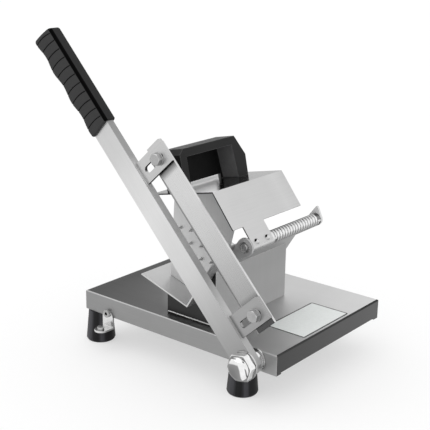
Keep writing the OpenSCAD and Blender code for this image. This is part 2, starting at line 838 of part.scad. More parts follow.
// Toothed plate under the presser, which the spring pulls forward along the trough
module push_plate() {
    under = (presser_sheet + seat) / sin(ridge_half);
    off = (trough_sheet + clear) / sin(vee_half);
    corner = ridge + ridge_mid * under;
    inner_vee = vee + vee_mid * off;
    color("gainsboro") {
        along_y(push_y0, push_t) polygon([
            inner_vee,
            inner_vee + wall_dir * push_wall_w,
            corner + side_down * push_side_w,
            corner,
            corner + top_left * push_top_w,
            inner_vee + floor_dir * push_floor_w
        ]);
        for (x = tooth_columns, z = tooth_rows)
            translate([inner_vee[0] + x * tooth_pitch, push_y0, inner_vee[1] + z * tooth_pitch])
                rotate([90, 0, 0]) cylinder(h = tooth_l, d1 = tooth_d, d2 = tooth_d * tooth_tip_ratio);
    }
}

module presser_handle() {
    gap_top = handle_h - handle_bar;
    gap_y1 = handle_l - rear_leg;
    color("#161617")
    at_ridge() difference() {
        translate([-handle_in - handle_w, handle_y0, seat]) handle_prism(handle_w) polygon([
            [0, 0],
            [0, handle_h - front_slope],
            [front_slope, handle_h],
            [handle_l - rear_slope_l, handle_h],
            [handle_l, handle_h - rear_slope_h],
            [handle_l, 0]
        ]);
        translate([-handle_in - handle_w + handle_web, handle_y0, seat]) handle_prism(handle_w) polygon([
            [front_leg, -cut],
            [front_leg, gap_top],
            [gap_y1 - leg_slant, gap_top],
            [gap_y1, -cut]
        ]);
        translate([-handle_in - handle_w - cut, handle_y0 + front_leg, -cut])
            cube([handle_w, gap_y1 - front_leg - leg_slant, web_lift + cut]);
        for (y = handle_screw_y) translate([handle_screw_x, y, -cut])
            cylinder(h = handle_screw_l + cut + clear, d = handle_screw_d + 2 * running);
    }
}

module handle_screws() {
    head_h = handle_screw_d * head_h_ratio;
    color("gainsboro")
    at_ridge() for (y = handle_screw_y) translate([handle_screw_x, y, -presser_sheet - head_h]) {
        cylinder(h = head_h, d = handle_screw_d * head_ratio);
        cylinder(h = head_h + presser_sheet + handle_screw_l, d = handle_screw_d);
    }
}

module lever_arm() {
    color("silver")
    at_arm() difference() {
        union() {
            translate([-tang_u, arm_front, -arm_w / 2]) cube([tang_u, arm_t, arm_w]);
            translate([-arm_l, arm_front, -tang_w / 2]) cube([arm_l, arm_t, tang_w]);
            rod_y(arm_front, arm_t, arm_w);
        }
        rod_y(arm_front - cut, arm_t + 2 * cut, stud_d + 2 * running);
    }
}

// Grip outline in the arm's own plane, waved along its lower edge for the fingers
module grip_outline() {
    steps = 40;
    function wave(at) = wave_h * (1 + cos(360 * (at - wave_at) / wave_l)) / 2;
    places = [for (i = [0 : steps]) grip_l * i / steps];
    polygon(concat(
        [[-grip_u0, grip_w / 2]],
        [for (at = places) [-grip_u0 - at, -grip_w / 2 + wave(at)]],
        [[-grip_u1 + grip_round, grip_w / 2]]
    ));
}

module arm_grip() {
    color("#161617")
    at_arm() difference() {
        intersection() {
            along_y(grip_mid_y - grip_t / 2, grip_t) grip_outline();
            translate([-grip_u1, grip_mid_y, 0]) rotate([0, 90, 0]) linear_extrude(grip_l)
                round_rect(grip_w, grip_t, grip_round);
        }
        translate([-tang_u - seat, arm_front - seat, -arm_w / 2 - seat])
            cube([tang_u, arm_t + 2 * seat, arm_w + 2 * seat]);
        translate([-arm_l - seat, arm_front - seat, -tang_w / 2 - seat])
            cube([arm_l, arm_t + 2 * seat, tang_w + 2 * seat]);
    }
}

// Slotted plate welded to the arm's side, which carries one end of the blade
module bracket(at, w, step, bolt) {
    root = arm_w / 2 + seat;
    color("silver")
    at_arm() difference() {
        along_y(bracket_y0, bracket_t) {
            translate([-at - w, root]) square([w, bracket_reach - root - bracket_round]);
            translate([-at - w - step, bolt_out - bolt_washer_d / 2])
                square([w + step, bracket_reach - bracket_round - bolt_out + bolt_washer_d / 2]);
            translate([-at - w - step + bracket_round, bracket_reach - 2 * bracket_round])
                square([w + step - bracket_round, 2 * bracket_round]);
            translate([-at - w - step + bracket_round, bracket_reach - bracket_round]) circle(bracket_round);
        }
        along_y(bracket_y0 - cut, bracket_t + 2 * cut) translate([-bolt, 0]) rotate(90)
            slot(bolt_out - slot_in - clear, bolt_out + slot_out + clear, bolt_d / 2 + clear);
    }
}

module blade() {
    edge_z = blade_edge;
    spine_z = blade_edge + blade_w;
    color("whitesmoke")
    at_arm() difference() {
        translate([-blade_at, 0, 0]) rotate([90, 0, -90]) linear_extrude(blade_l) polygon([
            [-blade_y1, edge_z],
            [-blade_y1, spine_z],
            [-blade_y0, spine_z],
            [-blade_y0, edge_z + bevel_w],
            [-blade_y1 + edge_t, edge_z]
        ]);
        for (u = bolt_places) translate([-u, 0, bolt_out])
            rod_y(blade_y0 - cut, blade_t + 2 * cut, bolt_d + 2 * running);
    }
}

module blade_bolts() {
    tail_y1 = blade_y1 + bolt_nut_h + bolt_washer_t;
    color("gainsboro")
    at_bolts() {
        hex_y(bolt_head_y0, bolt_head_h, bolt_af);
        rod_y(bolt_head_y0, tail_y1 - bolt_head_y0, bolt_d);
    }
}

module blade_washers() {
    color("gainsboro")
    at_bolts() {
        ring_y(bolt_washer_y0, bolt_washer_t, bolt_washer_d, bolt_d + 2 * running);
        ring_y(blade_y1, bolt_washer_t, bolt_washer_d, bolt_d + 2 * running);
    }
}

module blade_nuts() {
    color("gainsboro")
    at_bolts() difference() {
        hex_y(blade_y1 + bolt_washer_t, bolt_nut_h, bolt_af);
        rod_y(blade_y1, bolt_nut_h + bolt_washer_t + cut, bolt_d + 2 * running);
    }
}

module pivot_stud() {
    color("gainsboro")
    at_pivot() rod_y(cap_y1 - cap_hex_h, stud_y1 - cap_y1 + cap_hex_h, stud_d);
}

// Domed cap nut: a hexagon with its front corners turned off, and a dome over the stud's end
module cap_nut() {
    dome_r = pivot_af / 2;
    corner_r = pivot_af * hex;
    dome_y = cap_y1 - cap_hex_h;
    color("whitesmoke")
    at_pivot() difference() {
        intersection() {
            hex_y(dome_y - cap_dome_h, cap_hex_h + cap_dome_h, pivot_af);
            translate([0, cap_y1, 0]) rotate([90, 0, 0]) rotate_extrude() polygon([
                [0, 0],
                [dome_r, 0],
                [corner_r + cut, (corner_r + cut - dome_r) / 2],
                [corner_r + cut, cap_hex_h - corner_r + dome_r],
                [dome_r * 0.98, cap_hex_h],
                [dome_r * 0.9, cap_hex_h + cap_dome_h * 0.36],
                [dome_r * 0.7, cap_hex_h + cap_dome_h * 0.7],
                [dome_r * 0.4, cap_hex_h + cap_dome_h * 0.92],
                [0, cap_hex_h + cap_dome_h]
            ]);
        }
        rod_y(dome_y - clear, cap_hex_h + clear + cut, stud_d + 2 * running);
    }
}

module pivot_washers() {
    color("gainsboro")
    at_pivot() {
        ring_y(cap_y1, pivot_washer_t, cap_washer_d, stud_d + 2 * running);
        ring_y(spacer_y1, pivot_washer_t, pivot_washer_d, stud_d + 2 * running);
        ring_y(back_plate_y1, pivot_washer_t, pivot_washer_d * inner_washer_ratio, stud_d + 2 * running);
    }
}

module pivot_spacer() {
    color("whitesmoke")
    at_pivot() ring_y(arm_back + seat, spacer_y1 - arm_back - seat, spacer_d, stud_d + 2 * running);
}

module lock_nut() {
    lock_af = min(pivot_af, 2 * (tray_h - pivot_down - tray_sheet) * cos(30));
    color("gainsboro")
    at_pivot() difference() {
        hex_y(lock_y0, lock_nut_h, lock_af);
        rod_y(lock_y0 - cut, lock_nut_h + 2 * cut, stud_d + 2 * running);
    }
}

// Angle on the front rim whose ledge stops the arm just below the horizontal
module stop_bracket() {
    round_r = stop_w / 2;
    color("whitesmoke")
    difference() {
        union() {
            along_y(tray_y0 - stop_t, stop_t) {
                translate([stop_x - round_r, ledge_top - stop_t]) square([stop_w, stop_h + stop_t - round_r]);
                translate([stop_x, stop_z1 - round_r]) circle(round_r);
            }
            translate([stop_x - round_r, tray_y0 - stop_reach + round_r, ledge_top - stop_t])
                cube([stop_w, stop_reach - round_r, stop_t]);
            translate([stop_x, tray_y0 - stop_reach + round_r, ledge_top - stop_t])
                cylinder(h = stop_t, r = round_r);
        }
        translate([stop_x, 0, tray_z1 - stop_screw_down])
            rod_y(tray_y0 - stop_t - cut, stop_t + 2 * cut, stop_screw_d + 2 * drill_clear);
    }
}

module stop_screw() {
    head_y0 = tray_y0 - stop_t - stop_head_h;
    nut_y1 = tray_y0 + tray_sheet + stop_screw_d * nut_h_ratio;
    color("gainsboro")
    translate([stop_x, 0, tray_z1 - stop_screw_down]) {
        rod_y(head_y0, stop_head_h, stop_head_d);
        rod_y(head_y0, nut_y1 + 1 - head_y0, stop_screw_d);
    }
}

module stop_nut() {
    nut_h = stop_screw_d * nut_h_ratio;
    color("gainsboro")
    translate([stop_x, 0, tray_z1 - stop_screw_down]) difference() {
        hex_y(tray_y0 + tray_sheet, nut_h, stop_screw_d * nut_af_ratio);
        rod_y(tray_y0, nut_h + 2 * tray_sheet, stop_screw_d + 2 * running);
    }
}

module stop_button() {
    color("gainsboro")
    translate([stop_x, button_y, ledge_top]) cylinder(h = button_h, d = button_d);
}

module label_plate() {
    color("whitesmoke")
    translate([tray_x1 - label_in_x - label_w, tray_y0 + label_in_y, tray_z1])
        cube([label_w, label_d, label_t]);
}

base_tray();
back_plate();
for (f = foot_places) foot(f[1]);
foot_screws();
foot_washers();
foot_nuts();
stand();
stand_screws();
stand_nuts();
trough();
lug(lug_y0, 0);  // front_lug
lug(rear_lug_y0, lug_tip);  // rear_lug
guide_rod();
rod_clips();
feed_spring();
spring_seat();
spring_washer();
hinge_sleeve();
sleeve_rivets();
presser();
push_plate();
presser_handle();
handle_screws();
lever_arm();
arm_grip();
bracket(lower_bracket_at, lower_bracket_w, 0, lower_bolt);  // lower_bracket
bracket(upper_bracket_at, upper_bracket_w, bracket_step, upper_bolt);  // upper_bracket
blade();
blade_bolts();
blade_washers();
blade_nuts();
pivot_stud();
cap_nut();
pivot_washers();
pivot_spacer();
lock_nut();
stop_bracket();
stop_screw();
stop_nut();
stop_button();
label_plate();
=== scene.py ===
import json
import math
import bmesh
import bpy
from mathutils import Matrix, Vector


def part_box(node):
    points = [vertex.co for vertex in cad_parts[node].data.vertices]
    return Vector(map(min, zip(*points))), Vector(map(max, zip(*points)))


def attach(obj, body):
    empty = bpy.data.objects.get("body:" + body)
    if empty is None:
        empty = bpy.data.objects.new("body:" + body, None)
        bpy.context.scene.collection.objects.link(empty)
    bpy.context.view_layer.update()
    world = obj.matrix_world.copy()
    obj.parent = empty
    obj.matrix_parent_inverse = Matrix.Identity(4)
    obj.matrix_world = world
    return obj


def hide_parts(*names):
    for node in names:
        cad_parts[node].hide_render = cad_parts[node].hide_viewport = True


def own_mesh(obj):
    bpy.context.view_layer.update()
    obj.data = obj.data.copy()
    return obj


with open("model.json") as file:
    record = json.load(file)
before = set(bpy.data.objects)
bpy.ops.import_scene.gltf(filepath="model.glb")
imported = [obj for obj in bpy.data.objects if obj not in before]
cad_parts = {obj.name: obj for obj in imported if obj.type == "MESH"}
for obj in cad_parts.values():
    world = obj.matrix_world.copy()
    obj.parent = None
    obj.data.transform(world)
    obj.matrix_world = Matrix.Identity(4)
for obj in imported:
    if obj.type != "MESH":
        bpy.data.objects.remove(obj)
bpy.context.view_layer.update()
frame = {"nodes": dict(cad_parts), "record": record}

# A millimetre, and how near two points are one, both in metres
MM = 0.001
WELD = 1e-6
PLAIN = (1.0, 1.0, 1.0)
NO_TURN = (0.0, 0.0, 0.0)
NODES = frame["nodes"]
BODY_OF = {n: b for b, ns in frame["record"]["behaviour"]["bodies"].items() for n in ns}

# The part's main places, in millimetres, as in its source
ARM_ANGLE = math.radians(46.85)
PIVOT = Vector((148.5, 0.0, 54.0))
ALONG = Vector((-math.cos(ARM_ANGLE), 0.0, math.sin(ARM_ANGLE)))
ACROSS = Vector((math.sin(ARM_ANGLE), 0.0, math.cos(ARM_ANGLE)))
TRAY = (Vector((-123.0, -93.0, 41.5)), Vector((177.0, 127.0, 66.5)))
TOP_Z = TRAY[1].z
ROD = (Vector(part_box("guide_rod")[0]) + Vector(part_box("guide_rod")[1])) / 2.0 / MM
ROD.y = 0.0
SIDE_SLOPE = math.radians(51.8)
UP_SIDE = Vector((-math.cos(SIDE_SLOPE), 0.0, math.sin(SIDE_SLOPE)))


def on_arm(u, y, p):
    """A point from its place along the arm, its Y and its place across the arm."""
    q = PIVOT + ALONG * u + ACROSS * p
    return Vector((q.x, y, q.z))


# Materials: each tone is a grey from 0 to 255

# Heights of the surface grain, in metres
SCRATCH = 0.00003
SPARK = 0.00012
FIBRE = 0.00004


def grey(v, tint=PLAIN):
    """A linear colour from a display grey."""
    c = ((v / 255.0 + 0.055) / 1.055) ** 2.4
    return tuple(c * t for t in tint)


def tree(name):
    """A new material with its node tree and its main shader."""
    m = bpy.data.materials.new(name)
    m.use_nodes = True
    nt = m.node_tree
    return m, nt, nt.nodes["Principled BSDF"]


def add(nt, kind, **inputs):
    """A new node with values on its inputs; an underscore stands for a space."""
    n = nt.nodes.new(kind)
    for k, v in inputs.items():
        n.inputs[k.replace("_", " ")].default_value = v
    return n


def coords(nt, scale=PLAIN, turn=NO_TURN):
    """Object coordinates turned, then scaled, so that noise can be drawn out into grain."""
    tc = nt.nodes.new("ShaderNodeTexCoord")
    rot = add(nt, "ShaderNodeMapping", Rotation=turn)
    mp = add(nt, "ShaderNodeMapping", Scale=scale)
    nt.links.new(tc.outputs["Object"], rot.inputs["Vector"])
    nt.links.new(rot.outputs["Vector"], mp.inputs["Vector"])
    return mp.outputs["Vector"]


def noise(nt, vector, scale, detail=4.0, rough=0.55):
    n = add(nt, "ShaderNodeTexNoise", Scale=scale, Detail=detail, Roughness=rough)
    nt.links.new(vector, n.inputs["Vector"])
    return n.outputs["Fac"]


def ramp(nt, value, stops):
    """Value mapped through (place, colour) stops, with places from 0 to 1."""
    r = nt.nodes.new("ShaderNodeValToRGB")
    els = r.color_ramp.elements
    while len(els) < len(stops):
        els.new(0.5)
    for e, (at, c) in zip(els, stops):
        e.position = at
        e.color = (*c, 1.0)
    nt.links.new(value, r.inputs["Fac"])
    return r.outputs["Color"]


def mapped(nt, value, lo, hi, a, b):
    """Value mapped from lo..hi to a..b, held at the ends."""
    m = add(nt, "ShaderNodeMapRange")
    for k, v in (("From Min", lo), ("From Max", hi), ("To Min", a), ("To Max", b)):
        m.inputs[k].default_value = v
    nt.links.new(value, m.inputs["Value"])
    return m.outputs["Result"]


def math_node(nt, kind, a, b):
    m = nt.nodes.new("ShaderNodeMath")
    m.operation = kind
    nt.links.new(a, m.inputs[0])
    nt.links.new(b, m.inputs[1])
    return m.outputs[0]


def times(nt, a, b):
    """Two colours multiplied."""
    m = nt.nodes.new("ShaderNodeMix")
    m.data_type = "RGBA"
    m.blend_type = "MULTIPLY"
    m.inputs["Factor"].default_value = 1.0
    for link, socket in zip((a, b), [i for i in m.inputs if i.type == "RGBA"]):
        nt.links.new(link, socket)
    return [o for o in m.outputs if o.type == "RGBA"][0]


def bump(nt, bsdf, height, strength, distance):
    b = add(nt, "ShaderNodeBump", Strength=strength, Distance=distance)
    nt.links.new(height, b.inputs["Height"])
    nt.links.new(b.outputs["Normal"], bsdf.inputs["Normal"])


def dotted(nt, output, direction):
    """How far an output of the texture coordinates points along a direction."""
    tc = nt.nodes.new("ShaderNodeTexCoord")
    d = nt.nodes.new("ShaderNodeVectorMath")
    d.operation = "DOT_PRODUCT"
    nt.links.new(tc.outputs[output], d.inputs[0])
    d.inputs[1].default_value = direction
    return d.outputs["Value"]


def along(direction, *stops):
    """Tones that change along a direction of the part: (millimetres, grey) stops."""
    lo, hi = stops[0][0], stops[-1][0]

    def build(nt):
        v = mapped(nt, dotted(nt, "Object", direction), lo * MM, hi * MM, 0.0, 1.0)
        return ramp(nt, v, [((at - lo) / (hi - lo), grey(g)) for at, g in stops])
    return build


def facing(direction, *stops, tint=PLAIN):
    """Tones that change with the way a face looks: (-1 to 1, grey) stops."""
    def build(nt):
        v = mapped(nt, dotted(nt, "Normal", Vector(direction).normalized()), -1.0, 1.0, 0.0, 1.0)
        return ramp(nt, v, [((at + 1.0) / 2.0, grey(g, tint)) for at, g in stops])
    return build


def even(g, tint=PLAIN):
    """One tone, clouded a little."""
    def build(nt):
        v = noise(nt, coords(nt), 9.0, 2.0)
        return ramp(nt, v, [(0.3, grey(g * 0.97, tint)), (0.7, grey(g * 1.02, tint))])
    return build


def brushed(name, tone, rough, grain, turn=NO_TURN, spread=0.1, depth=0.2, metal=1.0, rim=1.0,
            rougher=None):
    """Brushed steel: long fine scratches, cloudy handling marks.

    metal under 1 scatters some of the light, as a blasted or worn face does. rim dims the glancing shine.
    rougher = (direction, from, to, more, metal) makes the finish duller along a direction, in millimetres.
    """
    m, nt, bsdf = tree(name)
    bsdf.inputs["Metallic"].default_value = metal
    bsdf.inputs["Specular Tint"].default_value = (rim, rim, rim, 1.0)
    line = noise(nt, coords(nt, grain, turn), 1.0, 6.0, 0.65)
    cloud = noise(nt, coords(nt), 18.0, 3.0)
    fine = ramp(nt, line, [(0.3, (1.0 - spread,) * 3), (0.7, (1.0,) * 3)])
    soft = ramp(nt, cloud, [(0.3, (0.95,) * 3), (0.75, (1.0,) * 3)])
    nt.links.new(times(nt, tone(nt), times(nt, fine, soft)), bsdf.inputs["Base Color"])
    gloss = mapped(nt, line, 0.25, 0.75, rough - 0.06, rough + 0.08)
    if rougher:
        direction, start, end, more, dull_metal = rougher
        place = dotted(nt, "Object", direction)
        gloss = math_node(nt, "ADD", gloss, mapped(nt, place, start * MM, end * MM, 0.0, more))
        if dull_metal != metal:
            nt.links.new(mapped(nt, place, start * MM, end * MM, metal, dull_metal), bsdf.inputs["Metallic"])
    nt.links.new(gloss, bsdf.inputs["Roughness"])
    bump(nt, bsdf, line, depth, SCRATCH)
    return m


def polished(name, tone, rough):
    """Plated steel: bright, with faint smears and pin marks."""
    m, nt, bsdf = tree(name)
    bsdf.inputs["Metallic"].default_value = 1.0
    smear = noise(nt, coords(nt), 140.0, 5.0)
    pin = noise(nt, coords(nt), 900.0, 2.0)
    soft = ramp(nt, smear, [(0.3, (0.86,) * 3), (0.7, (1.0,) * 3)])
    nt.links.new(times(nt, tone(nt), soft), bsdf.inputs["Base Color"])
    nt.links.new(mapped(nt, smear, 0.3, 0.7, rough, rough + 0.1), bsdf.inputs["Roughness"])
    bump(nt, bsdf, pin, 0.12, SCRATCH)
    return m


def moulded(name, tone, rough, grain_scale, depth, shine):
    """Black moulded plastic or rubber: fine spark texture and scuffs."""
    m, nt, bsdf = tree(name)
    bsdf.inputs["Specular IOR Level"].default_value = shine
    v = coords(nt)
    spark = noise(nt, v, grain_scale, 3.0, 0.6)
    scuff = noise(nt, v, 60.0, 6.0, 0.7)
    worn = ramp(nt, scuff, [(0.4, (0.8,) * 3), (0.72, (1.0,) * 3)])
    nt.links.new(times(nt, tone(nt), worn), bsdf.inputs["Base Color"])
    nt.links.new(mapped(nt, scuff, 0.3, 0.7, rough - 0.06, rough + 0.1), bsdf.inputs["Roughness"])
    bump(nt, bsdf, spark, depth, SPARK)
    return m


def tray_top_painted_reflection(nt):
    """Painted reflection: dark at the left, mid grey at the front right and bright at the back right."""
    right = mapped(nt, dotted(nt, "Object", (1.0, 0.0, 0.0)), -0.11, 0.15, 0.0, 1.0)
    back = mapped(nt, dotted(nt, "Object", (0.0, 1.0, 0.0)), -0.075, 0.075, 0.14, 0.5)
    v = math_node(nt, "MULTIPLY", right, back)
    stops = ((0.0, 62), (0.06, 98), (0.1, 174), (0.14, 184), (0.32, 205), (0.5, 220))
    return ramp(nt, v, [(at, grey(g)) for at, g in stops])


def stand_tone(nt):
    """A little darker towards the back, lighter low down."""
    back = along((0, 1, 0), (-80, 220), (-20, 212), (60, 204))(nt)
    low = along((0, 0, 1), (66, 250), (85, 232), (120, 214))(nt)
    return times(nt, back, low)


def presser_top_painted_shading(nt):
    """Painted shading: brighter towards the back, darker at the far left edge."""
    back = along((0, 1, 0), (-90, 254), (-30, 250), (0, 246), (42, 254))(nt)
    left = along((1, 0, 0), (4, 208), (20, 255))(nt)
    return times(nt, back, left)


def spring_painted_highlight(nt):
    """Painted highlight: a bright band along the outer side of the coil, greyer above, below and behind."""
    up = Vector((-0.19, 0.0, 0.98))
    at = up.dot(ROD)
    band = along(up, *[(at + h, g) for h, g in (
        (-8.0, 150), (-4.0, 190), (-1.5, 214), (0.0, 252), (3.8, 255), (5.4, 228), (8.0, 206))])(nt)
    outer = along((1, 0, 0), (ROD.x - 8.0, 160), (ROD.x - 2.0, 214), (ROD.x + 1.5, 255))(nt)
    return times(nt, band, outer)


def chrome_painted_reflection(nt):
    """Painted reflection: a bright upper and a bright right side, as of two windows, each with a dark bar in
    it.
    """
    upper = facing((0, 0, 1), (-1.0, 96), (-0.2, 124), (0.2, 148), (0.28, 244), (0.62, 252), (0.69, 70),
                   (0.74, 80), (0.8, 240), (1.0, 250))(nt)
    right = facing((0.94, 0, 0.34), (-1.0, 96), (0.0, 136), (0.17, 150), (0.23, 250), (0.62, 252), (0.68, 60),
                   (0.75, 66), (0.8, 246), (1.0, 250))(nt)
    return math_node(nt, "MAXIMUM", upper, right)


# Grain: many scratches across it, few along it
FINE = 1400.0
LONG = 12.0
ROUND_GRAIN = (300.0,) * 3
BLAST_GRAIN = (FINE * 0.3,) * 3
TURN_ARM = (0.0, -ARM_ANGLE, 0.0)
GRAIN_X = (LONG, FINE, FINE)
GRAIN_Y = (FINE, LONG, FINE)
GRAIN_Z = (FINE, FINE, LONG)
UP_ARM = tuple(ALONG)
AT_PIVOT = ALONG.dot(PIVOT)


def along_arm(*stops):
    """Tones that change along the arm: (millimetres from the pivot, grey) stops."""
    return along(UP_ARM, *[(AT_PIVOT + u, g) for u, g in stops])


# Painted shading along the arm: darkest near the pivot, brightest around its middle.
arm_painted_shading = along_arm((20, 166), (40, 176), (80, 196), (120, 217), (165, 227), (205, 231), (245, 225),
                     (285, 215), (320, 212))
# Painted shading on the arm's side faces: darker bands along them, darkest towards the grip.
arm_side_painted_shading = along_arm((0, 176), (60, 206), (80, 190), (110, 172), (150, 208), (245, 222), (272, 166),
                          (320, 152))
# Painted shading: the lower bracket darker than the upper.
bracket_painted_shading = along_arm((26, 166), (260, 206))
# Painted shadow on the blade: dark below the lower bracket, shaded next to both brackets.
blade_painted_shadow = along_arm((20, 84), (25.5, 86), (27, 148), (54, 132), (61, 172), (110, 196), (150, 209),
                       (190, 216), (221, 216), (226.5, 150), (231, 100), (232, 206), (260, 216))
# Painted shading: the front rim a mid grey, a little lighter towards the right.
front_rim_painted_shading = along((1, 0, 0), (-123, 150), (60, 154), (177, 162))
# Painted shade: the right rim darker than the front, a little lighter towards the back.
right_rim_painted_shade = along((0, 1, 0), (-93, 78), (127, 106))
presser_tone = along((0, 1, 0), (-90, 215), (0, 210), (20, 215), (42, 206))
# Painted reflection on the rod and sleeve: brightest on faces that look to the right and up.
rod_painted_reflection = facing((0.814, 0.0, 0.58), (-1.0, 150), (0.0, 168), (0.5, 182), (0.75, 206), (0.93, 236),
                  (1.0, 240))
# Painted shading on the stop plate: faces that look to the front and up are lighter.
stop_painted_shading = facing((0.0, -0.8, 0.6), (-1.0, 120), (0.0, 150), (0.5, 205), (1.0, 238))
# Painted shading on zinc parts: faces that look up and to the right are lighter, those that look down darker.
zinc_painted_shading = facing((0.5, -0.3, 0.8), (-1.0, 90), (-0.2, 118), (0.2, 168), (0.6, 200), (1.0, 226))
# Painted highlights on the feet: light streaks on faces that look certain ways round.
rubber_painted_highlights = facing((0.78, 0.625, 0.0), (-1.0, 24), (-0.86, 70), (-0.62, 66), (-0.45, 26), (-0.1, 22),
                     (0.02, 50), (0.12, 74), (0.3, 70), (0.42, 30), (0.72, 18), (1.0, 18),
                     tint=(0.97, 0.97, 1.08))

M_TRAY = brushed("tray steel", even(120), 0.34, GRAIN_X)
M_TRAY_TOP = brushed("tray top steel", tray_top_painted_reflection, 0.4, GRAIN_X, spread=0.08, depth=0.08,
                     rougher=((1, 0, 0), 70, 110, 0.14, 1.0))
M_TRAY_FRONT = brushed("tray front steel", front_rim_painted_shading, 0.4, GRAIN_X, metal=0.45, rim=0.4)
M_TRAY_RIGHT = brushed("tray right steel", right_rim_painted_shade, 0.4, GRAIN_Y, metal=0.5, rim=0.3)
# Painted highlight along the bend of the tray's rim.
M_TRAY_BEND_HIGHLIGHT = brushed("tray bend painted highlight steel", even(186), 0.4, GRAIN_X, metal=0.6)
# Painted shade along the bend of the tray's right rim.
M_TRAY_SHADE = brushed("tray bend painted shade steel", even(76), 0.4, GRAIN_Y, rim=0.2)
M_STAND = brushed("stand steel", stand_tone, 0.5, GRAIN_Z, metal=0.35, rim=0.4)
# Painted shade: the stand's front panel is a dark copy of its steel.
M_STAND_FRONT_SHADE = brushed("stand front painted shade steel", even(64), 0.34, GRAIN_X, rim=0.2)
M_TROUGH = brushed("trough steel", even(210), 0.4, GRAIN_Y)
# Painted shade on the trough's outer faces, which look down.
M_TROUGH_OUT_SHADE = brushed("trough outer painted shade steel", even(170), 0.4, GRAIN_Y, metal=0.6)
M_PRESSER = brushed("presser steel", presser_tone, 0.46, GRAIN_Y, metal=0.7)
M_PRESSER_TOP = brushed("presser top steel", presser_top_painted_shading, 0.14, GRAIN_Y, rim=0.5,
                        rougher=((-0.78, -0.626, 0), -15, -9, 0.42, 0.35))
# Bare cut edges of the steel, brightened further with a painted highlight.
M_EDGE_HIGHLIGHT = brushed("bare edge painted highlight steel", even(226), 0.3, ROUND_GRAIN)
# Painted shade on edges and ends that face away from the light: the brackets' and blade's lower ends and the
# presser's edges.
M_SHADED_EDGE = brushed("painted shade edge steel", even(88), 0.4, ROUND_GRAIN, rim=0.15)
# Painted shade: dark marks on the rivets' upper left faces and in the stop screw's socket.
M_SHADE_MARK = brushed("painted shade mark", even(30), 0.5, ROUND_GRAIN, rim=0.1)
M_ARM = brushed("arm steel", arm_painted_shading, 0.36, GRAIN_X, TURN_ARM)
M_ARM_SIDE = brushed("arm side steel", arm_side_painted_shading, 0.5, GRAIN_X, TURN_ARM, metal=0.4)
M_BRACKET = brushed("bracket steel", bracket_painted_shading, 0.32, GRAIN_Z, TURN_ARM)
M_BLADE = brushed("blade steel", blade_painted_shadow, 0.28, GRAIN_X, TURN_ARM, spread=0.05)
M_BEVEL = brushed("blade bevel steel", even(178), 0.3, GRAIN_Z, TURN_ARM, spread=0.05)
M_PUSH = brushed("push plate steel", even(214), 0.45, GRAIN_Z, metal=0.6)
M_HEM = brushed("hem steel", even(220), 0.5, GRAIN_X, metal=0.4)
M_LUG = brushed("lug steel", even(186), 0.6, BLAST_GRAIN, metal=0.4)
M_LUG_REAR = brushed("rear lug steel", even(232), 0.5, BLAST_GRAIN, metal=0.5)
M_CHROME = polished("chrome", chrome_painted_reflection, 0.08)
M_ROD = polished("chrome rod", rod_painted_reflection, 0.2)
M_SPRING = brushed("spring wire", spring_painted_highlight, 0.3, ROUND_GRAIN, metal=0.5)
M_STOP = polished("stop plate", stop_painted_shading, 0.14)
M_ZINC = polished("zinc plate", zinc_painted_shading, 0.2)
GRIP_TINT = (1.0, 1.0, 1.01)
M_GRIP = moulded("grip plastic", even(53, GRIP_TINT), 0.55, 900.0, 0.25, 0.2)
# Painted shade: the grip's right side a darker copy of its front.
M_GRIP_SIDE_SHADE = moulded("grip plastic side painted shade", even(42, GRIP_TINT), 0.58, 900.0, 0.25, 0.14)
# Painted shade in the grip's grooves.
M_GRIP_GROOVE_SHADE = moulded("grip groove painted shade", even(10), 0.6, 900.0, 0.2, 0.1)
M_GRIP_STRIP = moulded("grip edge strip", even(3), 0.7, 900.0, 0.2, 0.03)
M_HANDLE = moulded("handle plastic", even(31, GRIP_TINT), 0.5, 1100.0, 0.2, 0.18)
# Painted shade on the inner faces of the handle's opening.
M_HANDLE_IN_SHADE = moulded("handle plastic inside painted shade", even(14), 0.6, 1100.0, 0.2, 0.12)
# Painted light: the handle's top faces a lighter copy of its plastic.
M_HANDLE_TOP_LIT = moulded("handle plastic top painted light", even(47, GRIP_TINT), 0.5, 1100.0, 0.2, 0.25)
# Painted highlight on the handle's eased edges.
M_HANDLE_EDGE_HIGHLIGHT = moulded("handle plastic edge painted highlight", even(72, GRIP_TINT), 0.5, 1100.0, 0.2, 0.25)
# Painted light: the front face of the handle's rear leg a lighter copy of its plastic.
M_HANDLE_LEG_LIT = moulded("handle plastic leg painted light", even(100, GRIP_TINT), 0.5, 1100.0, 0.2, 0.2)
M_RUBBER = moulded("foot rubber", rubber_painted_highlights, 0.45, 700.0, 0.2, 0.2)


def label_material(name, tone, tint):
    """Plain film with a fine fibre."""
    m, nt, bsdf = tree(name)
    fibre = noise(nt, coords(nt), 260.0, 5.0)
    nt.links.new(ramp(nt, fibre, [(0.3, grey(tone * 0.97, tint)), (0.7, grey(tone, tint))]),
                 bsdf.inputs["Base Color"])
    nt.links.new(mapped(nt, fibre, 0.3, 0.7, 0.38, 0.5), bsdf.inputs["Roughness"])
    bump(nt, bsdf, fibre, 0.1, FIBRE)
    return m


M_LABEL = label_material("label face", 240, (0.965, 1.0, 0.985))
M_LABEL_LINE = label_material("label border", 44, PLAIN)


# Mesh helpers

def corner_normals(bm, limit):
    """Corner normals weighted by area, so that broad faces stay flat beside their eased edges."""
    area = {f: f.calc_area() for f in bm.faces}
    near = math.cos(limit)
    return [sum((g.normal * area[g] for g in loop.vert.link_faces if g.normal.dot(f.normal) > near),
                Vector()).normalized() for f in bm.faces for loop in f.loops]


